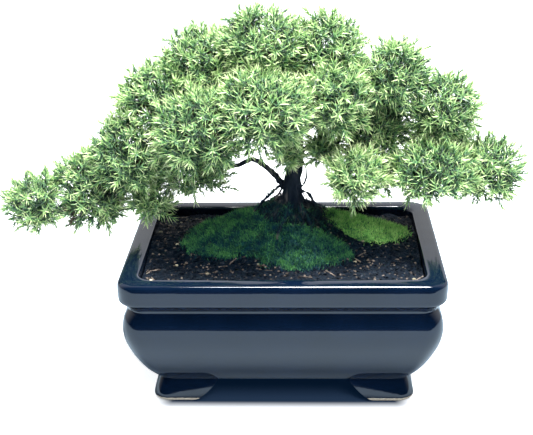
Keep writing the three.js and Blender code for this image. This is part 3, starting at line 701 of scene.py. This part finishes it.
# Width in mm, shortening along the trunk, depth in mm, and how much deeper at the trunk
furrow_layers = [(1.5, 0.22, 0.2, 1.0), (0.6, 0.35, 0.15, 0.3)]
root_hair_count = 260
root_hair_steps = 6
root_hair_radii_mm = (0.14, 0.42)
high_hair_share = 0.12
hair_starts_mm = {"high": (102, 110), "low": (88, 100)}
hair_reaches_mm = {"high": (5, 12), "low": (10, 30)}
trunk_foot_radius_mm = 6.5
trunk_foot_height_mm = 90
wood = smoothed_copy(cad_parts["wood"], 0)
remesh = wood.modifiers.new("round", "REMESH")
remesh.mode = "VOXEL"
remesh.voxel_size = bark_grain_mm * MM
apply_modifier(wood, remesh)
relax = wood.modifiers.new("relax", "SMOOTH")
relax.factor = 0.5
relax.iterations = 2
apply_modifier(wood, relax)
trunk_middle = in_frame(*trunk_place_mm, 0)
furrowed = []
for vertex in wood.data.vertices:
    x, y, z = vertex.co
    near_trunk = math.exp(-((vertex.co.xy - trunk_middle.xy).length / (trunk_reach_mm * MM)) ** 2)
    depth = sum(
        (shallow + deeper * near_trunk) * noise.noise(Vector((x, y, z * shortening)) / (width * MM))
        for width, shortening, shallow, deeper in furrow_layers
    )
    furrowed.append(vertex.co + vertex.normal * depth * MM)
wood.data.vertices.foreach_set("co", np.array(furrowed, np.float32).ravel())


def tube(points, radii, sides):
    """Corners and triangles of a closed tube through points, with a radius at each."""
    points = np.asarray(points, float)
    tangents = np.gradient(points, axis=0)
    tangents /= np.linalg.norm(tangents, axis=1)[:, None]
    across = np.cross(tangents, (0.35, 0.2, 0.91))
    across /= np.linalg.norm(across, axis=1)[:, None]
    other = np.cross(tangents, across)
    angles = math.tau * np.arange(sides) / sides
    ring = np.cos(angles)[None, :, None] * across[:, None] + np.sin(angles)[None, :, None] * other[:, None]
    corners = (points[:, None] + np.asarray(radii)[:, None, None] * ring).reshape(-1, 3)
    triangles = []
    for step in range(len(points) - 1):
        for i in range(sides):
            low, high = step * sides + i, (step + 1) * sides + i
            low_next, high_next = step * sides + (i + 1) % sides, (step + 1) * sides + (i + 1) % sides
            triangles += [(low, low_next, high_next), (low, high_next, high)]
    last = (len(points) - 1) * sides
    for i in range(1, sides - 1):
        triangles += [(0, i + 1, i), (last, last + i, last + i + 1)]
    return corners, np.array(triangles)


def gathered(parts):
    """Corners and triangles of several meshes as one."""
    shift, vertices, faces = 0, [], []
    for corners, triangles in parts:
        vertices.append(corners)
        faces.append(triangles + shift)
        shift += len(corners)
    return np.vstack(vertices), np.vstack(faces)


def root_hair():
    """A fine root that leaves the trunk's base, hangs off it a little and runs down the mound."""
    angle = chance.uniform(0, math.tau)
    level = "high" if chance.random() < high_hair_share else "low"
    start = chance.uniform(*hair_starts_mm[level])
    reach = chance.uniform(*hair_reaches_mm[level])
    swing = chance.uniform(-0.7, 0.7)
    line = []
    for step in range(root_hair_steps + 1):
        t = step / root_hair_steps
        out = trunk_foot_radius_mm - (start - trunk_foot_height_mm) * 0.09 + reach * t**1.2
        x = trunk_place_mm[0] + 1.15 * out * math.cos(angle + swing * t)
        y = trunk_place_mm[1] + 0.8 * out * math.sin(angle + swing * t)
        ground = soil_height(x, y) + 0.3
        lift = (start - ground) * (1 - t) ** 2.2 + 1.2 * math.sin(math.pi * t) * chance.uniform(0.2, 1)
        line.append(in_frame(x, y, ground + max(lift, 0)))
    thick = chance.uniform(*root_hair_radii_mm)
    radii = [thick * MM * (1 - 0.6 * step / root_hair_steps) for step in range(root_hair_steps + 1)]
    return tube(line, radii, 4)


bark, tree, shader = new_material("fibrous_bark")
bark_base = ramp(
    tree,
    grain(tree, 260, 6, (1, 1, 0.25)),
    [(0.38, (0.001, 0.006, 0.015)), (0.56, (0.011, 0.018, 0.028)), (0.72, (0.16, 0.15, 0.14))],
)
tree.links.new(bark_base, shader.inputs["Base Color"])
shader.inputs["Roughness"].default_value = 0.85
bump(tree, shader, grain(tree, 900, 5, (1, 1, 0.3)), 0.5 * MM, 0.7)
cover_with(wood, bark)
wood.data.shade_smooth()
hairs = mesh_object("root_hairs", *gathered([root_hair() for _ in range(root_hair_count)]), bark)
wood = joined("trunk_roots_and_limbs", [wood, hairs])
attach(wood, "root")
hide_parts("wood")

# The foliage: awl-shaped needles in whorls of three on short shoots, which fan out in tufts from thin woody twigs
# and round each limb off into a pad. Needles are pale yellow-green at the tips and whitish above. Painted shade
# turns them blue-green deeper inside the pads, painted light makes the tops of the pads paler, and painted light
# and shade lighten some whole pads and darken others. One needle is modelled, then four shoots of it, and tufts
# cover each pad by a seeded rule.
needle_length_mm = 6.0
needle_width_mm = 1.25
needle_thickness_mm = 0.6
whorls = 5
whorl_spacing_mm = 1.7
last_whorl_setback_mm = 3.0
shoot_stem_setback_mm = 2.5
shoot_stem_radii_mm = [0.42, 0.25]
shoot_lengths_and_openness = ((11.0, 0.95), (12.0, 0.85), (13.0, 0.80), (11.5, 1.05))
tuft_spacing_mm = 11.5
shoots_per_tuft = 5
fork_depth_mm = 13
leader_depth_mm = 11
needle_sizes = (0.88, 1.1)
shoot_sizes = (0.85, 1.1)
shoot_spreads = (0.75, 1.15)
leader_spread = 0.12
shoot_lift = 0.22
hub_share = 0.25
branch_radii_mm = (0.85, 0.5)
branch_sag, twig_sag = 0.06, 0.1
tuft_reach = (0.86, 1.0)
highest_tuft = 0.98
tuft_height_span = 1.84
pad_lumpiness = 0.16
inside_another_pad = 0.8
share_left_out_there = 0.85
near_another_pad = 1.15
dried_share_there = 0.01
# Painted shade inside the pads: the deeper a needle lies in any pad, the darker it is painted, down to 14 mm.
shaded_depth_mm = 14
depth_per_painted_shade_mm = 10
# Painted light: the upper tufts of each pad are painted paler than the lower ones.
painted_light_on_top = 0.15
tuft_unevenness, shoot_unevenness = 0.07, 0.14
twig_radii_mm = (0.5, 0.45, 0.4, 0.3)
golden_angle = math.pi * (3 - math.sqrt(5))
pads = [  # name, sprays, middle, half width, half height
    ("left_tip", 2, (-144, -3, 105), 20, 20),
    ("left_low", 2, (-114, 2, 109), 25, 27),
    ("left_mid", 2, (-88, -8, 135), 25, 26),
    ("left_hanging", 1, (-78, -5, 106), 15, 12),
    ("left_high", 2, (-70, 0, 163), 27, 25),
    ("left_top", 2, (-46, 8, 183), 26, 24),
    ("left_front", 3, (-44, -28, 154), 28, 26),
    ("left_under", 2, (-57, 8, 121), 26, 17),
    ("crown", 3, (-11, 0, 195), 27, 25),
    ("front", 3, (-10, -34, 165.5), 28, 27),
    ("crown_right", 2, (25, 4, 193), 23, 23),
    ("front_right", 2, (29, -16, 167.5), 21, 25),
    ("right_high", 2, (63, -2, 178), 24, 23),
    ("right_mid", 2, (90, 2, 158), 24, 23),
    ("right_tip", 2, (118, 0, 122), 23, 22),
    ("right_low", 2, (83, -18, 127), 26, 19),
    ("right_middle", 1, (58, -5, 125), 13, 16),
    ("hanging", 2, (41, -25, 126), 18, 19),
    ("right_inner", 1, (53, 14, 144), 24, 20),
    ("trunk_tuft", 1, (2, -5, 135), 10, 13),
    ("right_droop", 1, (25, 1, 136), 14, 12),
    ("back_left", 2, (-56, 42, 149), 27, 25),
    ("back_crown", 2, (-8, 43, 165), 28, 26),
    ("back_right", 2, (48, 42, 154), 27, 24),
    ("back_far_right", 1, (95, 36, 125), 23, 20),
    ("back_far_left", 1, (-105, 32, 113), 22, 20),
]
# Painted light and shade pad by pad, on a common level: pads in the shade of others are painted darker, and the
# crown and the hanging pad in front paler.
common_painted_light = 0.89
painted_light_by_pad = {
    "crown": 0.05, "hanging": 0.15, "left_tip": -0.03, "left_low": -0.05, "left_mid": -0.10, "left_front": -0.07,
    "right_high": -0.09, "right_mid": -0.12, "right_low": -0.14, "right_tip": -0.09, "right_inner": -0.12,
    "right_middle": -0.10,
}


def needle():
    """One needle of unit length along +Z: three-sided, broad at its foot and drawn out to a point."""
    cone = bpy.ops.mesh.primitive_cone_add
    corners, faces = taken_apart(new_primitive(cone, vertices=3, radius1=0.5, depth=1, end_fill_type="NGON"))
    corners[:, 2] += 0.5
    return corners, faces


def leafy_shoot(blade, length_mm, openness):
    """A shoot along +Z: whorls of three needles that lie closer to the stem towards the tip. Each corner gets two
    stored values: how far out it is, and whether it is on a needle's whitish inner face."""
    corners, faces = blade
    parts, stored = [], []
    for whorl in range(whorls):
        up = whorl / (whorls - 1)
        for third in range(3):
            angle = whorl * math.pi / 3 + third * math.tau / 3 + chance.normal(0, 0.15)
            lean = openness * (1.2 - 0.75 * up**1.4) + chance.normal(0, 0.1)
            fullness = 0.8 + 0.25 * math.sin(math.pi * (0.2 + 0.6 * up))
            long = needle_length_mm * fullness * chance.uniform(*needle_sizes)
            shaped = corners * (needle_thickness_mm, needle_width_mm, long)
            turned = Matrix.Rotation(angle, 3, "Z") @ Matrix.Rotation(lean, 3, "Y")
            height = length_mm - whorl_spacing_mm * (whorls - 1 - whorl) - last_whorl_setback_mm
            parts.append((shaped @ np.array(turned).T + np.array((0, 0, height)), faces))
            along = np.clip(shaped[:, 2] / long, 0, 1) * (0.55 + 0.45 * up) + chance.normal(0, 0.26)
            inner = np.where(corners[:, 0] < -0.1, 1.0, 0.0)
            stored.append(np.stack([along, inner], axis=1))
    stem = tube([(0, 0, 0), (0, 0, length_mm - shoot_stem_setback_mm)], shoot_stem_radii_mm, 3)
    parts.append(stem)
    stored.append(np.tile([0.05, 0.0], (len(stem[0]), 1)))
    vertices, triangles = gathered(parts)
    return vertices * MM, triangles, np.vstack(stored)


needle_green, tree, shader = new_material("juniper_needles")
# The third stored value is the painted light and shade of the needles, which lightens or darkens their green.
along, inner, painted_light_level, fresh = tints(tree)
level = math_node(tree, "MULTIPLY_ADD", grain(tree, 60, 2), 0.24, -0.12)
level = math_node(tree, "ADD", math_node(tree, "MULTIPLY", along, 0.75), level)
level = math_node(tree, "ADD", level, math_node(tree, "MULTIPLY_ADD", painted_light_level, 0.6, -0.15), clamp=True)
green = ramp(
    tree,
    level,
    [
        (0.0, (0.004, 0.028, 0.016)),
        (0.26, (0.060, 0.195, 0.066)),
        (0.58, (0.32, 0.53, 0.16)),
        (1.0, (0.70, 0.80, 0.42)),
    ],
)
waxy = mixed(tree, math_node(tree, "MULTIPLY", inner, 0.28), green, (0.74, 0.86, 0.74))
tree.links.new(mixed(tree, fresh, (0.13, 0.11, 0.075), waxy), shader.inputs["Base Color"])
shader.inputs["Roughness"].default_value = 0.36
bump(tree, shader, grain(tree, 3000), 0.05 * MM, 0.4)
twig_bark, tree, shader = new_material("twig_bark")
twig_colour = ramp(tree, grain(tree, 500, 4), [(0.3, (0.035, 0.024, 0.017)), (0.75, (0.18, 0.12, 0.08))])
tree.links.new(twig_colour, shader.inputs["Base Color"])
shader.inputs["Roughness"].default_value = 0.8
bump(tree, shader, grain(tree, 1500), 0.15 * MM, 0.6)

blade = needle()
shoot_models = [leafy_shoot(blade, length, openness) for length, openness in shoot_lengths_and_openness]
pad_middles = np.array([in_frame(*centre) for _, _, centre, _, _ in pads])
pad_halves = np.array([(wide, 0.9 * wide, high) for _, _, _, wide, high in pads]) * MM


def attached_at(node):
    """The point on the wood that a packed spray grows from."""
    nearest = (1, None)
    for vertex in node.data.vertices:
        found, _, _, distance = wood_surface.find_nearest(vertex.co)
        if distance < nearest[0]:
            nearest = (distance, found)
    return np.array(nearest[1])


def bent_line(start, end, sag, steps=5):
    """A line from a start to an end that hangs down a little between them."""
    t = np.linspace(0, 1, steps)[:, None]
    line = start + (end - start) * t
    line[:, 2] -= sag * np.sin(math.pi * t[:, 0]) * np.linalg.norm(end - start)
    return line


def unit(vector):
    """A vector made one unit long."""
    return vector / np.linalg.norm(vector)


def placed_shoot(shoot, tip, fork, heading, across):
    """One shoot of a tuft: the first is its leader, and the others spread round it from near the fork."""
    vertices, faces, stored = shoot_models[chance.integers(len(shoot_models))]
    size = chance.uniform(*shoot_sizes)
    around = math.tau * shoot / (shoots_per_tuft - 1) + chance.normal(0, 0.25)
    spread = chance.uniform(*shoot_spreads) if shoot else leader_spread
    side_way = across * math.cos(around) + np.cross(heading, across) * math.sin(around)
    aim = unit(heading * math.cos(spread) + side_way * math.sin(spread) + (0, 0, shoot_lift))
    start = fork + heading * chance.uniform(0, 4) * MM + side_way * MM
    if shoot == 0:
        start = tip - aim * leader_depth_mm * MM
    wide = unit(np.cross(aim, chance.normal(0, 1, 3)))
    turned = np.stack([wide, np.cross(aim, wide), aim], axis=1)
    return (vertices * size) @ turned.T + start, faces, stored


def depth_in_pads(places):
    """How far places lie inside the nearest pad, in mm, and less than 0 outside all of them."""
    outness = np.linalg.norm((places[:, None] - pad_middles) / pad_halves, axis=2)
    return ((1 - outness) * pad_halves.mean(axis=1)).max(axis=1) / MM


for number, (name, sprays, centre, _, _) in enumerate(pads):
    middle, half = pad_middles[number], pad_halves[number]
    turn = -math.pi / 2 if sprays == 3 else 0
    sides = [turn + math.tau * spray / sprays for spray in range(sprays)]
    side_vectors = np.array([(math.cos(side), math.sin(side), 0) for side in sides])
    roots = [attached_at(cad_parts[f"spray_{name}_{spray + 1}"]) for spray in range(sprays)]
    hubs = [middle + hub_share * side_vector * half for side_vector in side_vectors]
    branch_radii = np.linspace(*branch_radii_mm, 5) * MM
    twigs = [[tube(bent_line(root, hub, branch_sag), branch_radii, 6)] for root, hub in zip(roots, hubs)]
    leaves = [[] for _ in range(sprays)]
    leaf_tints = [[] for _ in range(sprays)]
    from_trunk = np.array((centre[0] - trunk_place_mm[0], centre[1] - trunk_place_mm[1], 0.0))
    from_trunk /= np.linalg.norm(from_trunk) + 12
    painted_pad_light = common_painted_light + painted_light_by_pad.get(name, 0)
    surface = 4 * math.pi * (half[0] * half[1] * half[2]) ** (2 / 3) / MM**2
    tufts = round(surface / tuft_spacing_mm**2)
    for i in range(tufts):
        height = highest_tuft - tuft_height_span * (i + 0.5) / tufts
        angle = number + i * golden_angle
        level = math.sqrt(max(0, 1 - height * height))
        outward = np.array((level * math.cos(angle), level * math.sin(angle), height))
        outward = unit(outward + chance.normal(0, 0.07, 3))
        lumpy = 1 + pad_lumpiness * noise.noise(Vector(outward) * 1.7 + Vector((number, 0, 0)))
        tip = middle + outward * half * lumpy * chance.uniform(*tuft_reach)
        to_others = np.linalg.norm((tip - pad_middles) / pad_halves, axis=1)
        to_others[number] = 2
        if to_others.min() < inside_another_pad and chance.random() < share_left_out_there:
            continue
        spray = int(np.argmax(side_vectors @ outward))
        rise = 0.3 + 0.5 * float(np.clip(0.8 + 2 * height, 0, 1))
        heading = outward * (1, 0.85, 0.85) + 0.3 * from_trunk + chance.normal(0, 0.12, 3) + (0, 0, rise)
        heading = unit(heading)
        across = unit(np.cross(heading, chance.normal(0, 1, 3)))
        fork = tip - heading * fork_depth_mm * MM
        shade = chance.normal(0, tuft_unevenness)
        dried = to_others.min() < near_another_pad and chance.random() < dried_share_there
        for shoot in range(shoots_per_tuft):
            placed, faces, stored = placed_shoot(shoot, tip, fork, heading, across)
            leaves[spray].append((placed, faces))
            # Painted shade deeper inside the pads, and painted light on the upper tufts and pad by pad.
            sunk = np.clip(depth_in_pads(placed), 0, shaded_depth_mm) / depth_per_painted_shade_mm
            painted_light_level = painted_pad_light - sunk + painted_light_on_top * height + shade + chance.normal(0, shoot_unevenness)
            fresh = np.full(len(placed), 0.0 if dried else 1.0)
            leaf_tints[spray].append(np.column_stack([stored, np.clip(painted_light_level, 0, 1), fresh]))
        start = hubs[spray] * 0.7 + roots[spray] * 0.3 if height < 0 else hubs[spray]
        twig_line = bent_line(start, fork + heading * 3 * MM, twig_sag, len(twig_radii_mm))
        twigs[spray].append(tube(twig_line, np.array(twig_radii_mm) * MM, 3))
    for spray in range(sprays):
        foliage = mesh_object(f"leaves_{name}_{spray + 1}", *gathered(leaves[spray]), needle_green)
        tint_attribute(foliage, np.vstack(leaf_tints[spray]))
        woody = mesh_object(f"twigs_{name}_{spray + 1}", *gathered(twigs[spray]), twig_bark)
        tint_attribute(woody, np.zeros(3))
        piece = joined(f"foliage_{name}_{spray + 1}", [foliage, woody])
        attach(piece, "root")
        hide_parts(f"spray_{name}_{spray + 1}")

# The studio: a plain white sweep under one softbox and a weaker front light, overexposed and with a painted glow
# that only the camera sees, so that it is pure white but for a painted contact shadow between the feet. The room
# behind the camera is dim, and the sweep ends two hands' widths in front of the pot, which only the glaze shows.
floor_size = 14.0
sweep_end_y = -0.31
sweep_end_sharpness = 30
shadow_insets = {"X": 27 * MM, "Y": 17 * MM}
shadow_softness = 12 * MM
floor = new_primitive(bpy.ops.mesh.primitive_plane_add, size=floor_size)
floor.name = "white_sweep"
white, tree, shader = new_material("white_card")
card = ramp(tree, grain(tree, 3), [(0.2, (0.80, 0.82, 0.85)), (0.8, (0.84, 0.86, 0.89))])
floor_place = place_parts(tree)
path = tree.nodes.new("ShaderNodeLightPath")
sweep_end = sweep_end_sharpness * sweep_end_y + 0.5
beyond_sweep = math_node(tree, "MULTIPLY_ADD", floor_place["Y"], -sweep_end_sharpness, sweep_end, clamp=True)
mirrored = mixed(tree, beyond_sweep, (0.36, 0.45, 0.52), (0.004, 0.008, 0.02))
outside = []
for axis, half in (("X", rim_half_x), ("Y", rim_half_y)):
    offset = math_node(tree, "SUBTRACT", floor_place[axis], pot_middle["XY".index(axis)])
    beyond = math_node(tree, "SUBTRACT", math_node(tree, "ABSOLUTE", offset), half - shadow_insets[axis])
    beyond = math_node(tree, "MAXIMUM", beyond, 0.0)
    outside.append(math_node(tree, "MULTIPLY", beyond, beyond))
distance = math_node(tree, "SQRT", math_node(tree, "ADD", *outside))
# Painted contact shadow under the pot, fading out towards its edges, with the painted glow beyond it. The floor
# the camera sees is painted dark navy where it falls.
glow_beyond_painted_shadow = math_node(tree, "DIVIDE", distance, shadow_softness, clamp=True)
seen = mixed(tree, glow_beyond_painted_shadow, (0.020, 0.036, 0.066), card)
bounced = mixed(tree, path.outputs["Is Camera Ray"], (0.42, 0.45, 0.50), seen)
floor_colour = mixed(tree, path.outputs["Is Glossy Ray"], bounced, mirrored)
tree.links.new(floor_colour, shader.inputs["Base Color"])
# A painted glow for the camera: white on the sweep and a faint navy in the painted contact shadow.
seen_glow = math_node(tree, "MULTIPLY", glow_beyond_painted_shadow, path.outputs["Is Camera Ray"])
glow = mixed(tree, seen_glow, (0.001, 0.006, 0.018), (0.8, 0.8, 0.8))
tree.links.new(glow, shader.inputs["Emission Color"])
shader.inputs["Emission Strength"].default_value = 1.0
shader.inputs["Roughness"].default_value = 0.9
shader.inputs["Specular IOR Level"].default_value = 0.1
cover_with(floor, white)


def softbox(name, place, aim, size, power):
    """A square area light that faces a point."""
    light = bpy.data.lights.new(name, "AREA")
    light.size = size
    light.energy = power
    stand = new_object(name, light)
    stand.location = place
    stand.rotation_euler = (Vector(aim) - Vector(place)).to_track_quat("-Z", "Y").to_euler()
    return stand


softbox("overhead_softbox", place=(0.15, -0.15, 1.6), aim=(0, 0, 0.1), size=0.6, power=84)
fill = softbox("front_fill", place=(0.45, -1.2, 1.35), aim=(0, 0, 0.1), size=0.9, power=30)
fill.visible_glossy = False

world = bpy.data.worlds.new("studio_room")
world.use_nodes = True
bpy.context.scene.world = world
tree = world.node_tree
direction = place_parts(tree, "Generated")
towards_back = math_node(tree, "MULTIPLY_ADD", direction["Y"], 1.6, 0.45, clamp=True)
mirrored_room = ramp(tree, towards_back, [(0.0, (0.004, 0.008, 0.02)), (1.0, (0.86, 0.90, 0.96))])
lit_room = ramp(tree, direction["Z"], [(0.42, (0.02, 0.05, 0.10)), (0.85, (1.0, 1.1, 1.2))])
path = tree.nodes.new("ShaderNodeLightPath")
room = mixed(tree, path.outputs["Is Glossy Ray"], lit_room, mirrored_room)
room = mixed(tree, path.outputs["Is Camera Ray"], room, (1.0, 1.0, 1.0))
tree.links.new(room, tree.nodes["Background"].inputs["Color"])
tree.nodes["Background"].inputs["Strength"].default_value = 1.0
bpy.context.scene.view_settings.view_transform = "Standard"

# The camera: a long lens at the photo's place, a little to the right of the pot's middle, looking down 20 degrees.
# Its place, turn and focal length were worked out from the pot's rim, belly and feet in the photo.
camera_place_mm = (14.4, -663.4, 335.5)
yaw, pitch, roll = -0.0367, 0.3514, -0.0153
focal_px = 1211.85
frame_width_px = 533
forward = Vector((math.sin(yaw) * math.cos(pitch), math.cos(yaw) * math.cos(pitch), -math.sin(pitch)))
right = Vector((math.cos(yaw), -math.sin(yaw), 0))
up = right.cross(forward)
rolled_right = right * math.cos(roll) + up * math.sin(roll)
rolled_up = up * math.cos(roll) - right * math.sin(roll)
lens = bpy.data.cameras.new("camera")
lens.sensor_width = 36
lens.lens = lens.sensor_width * focal_px / frame_width_px
lens.clip_start, lens.clip_end = 0.01, 50
camera = new_object("camera", lens)
camera.matrix_world = Matrix.Translation(in_frame(*camera_place_mm)) @ Matrix(
    (rolled_right, rolled_up, -forward)
).transposed().to_4x4()
bpy.context.scene.camera = camera
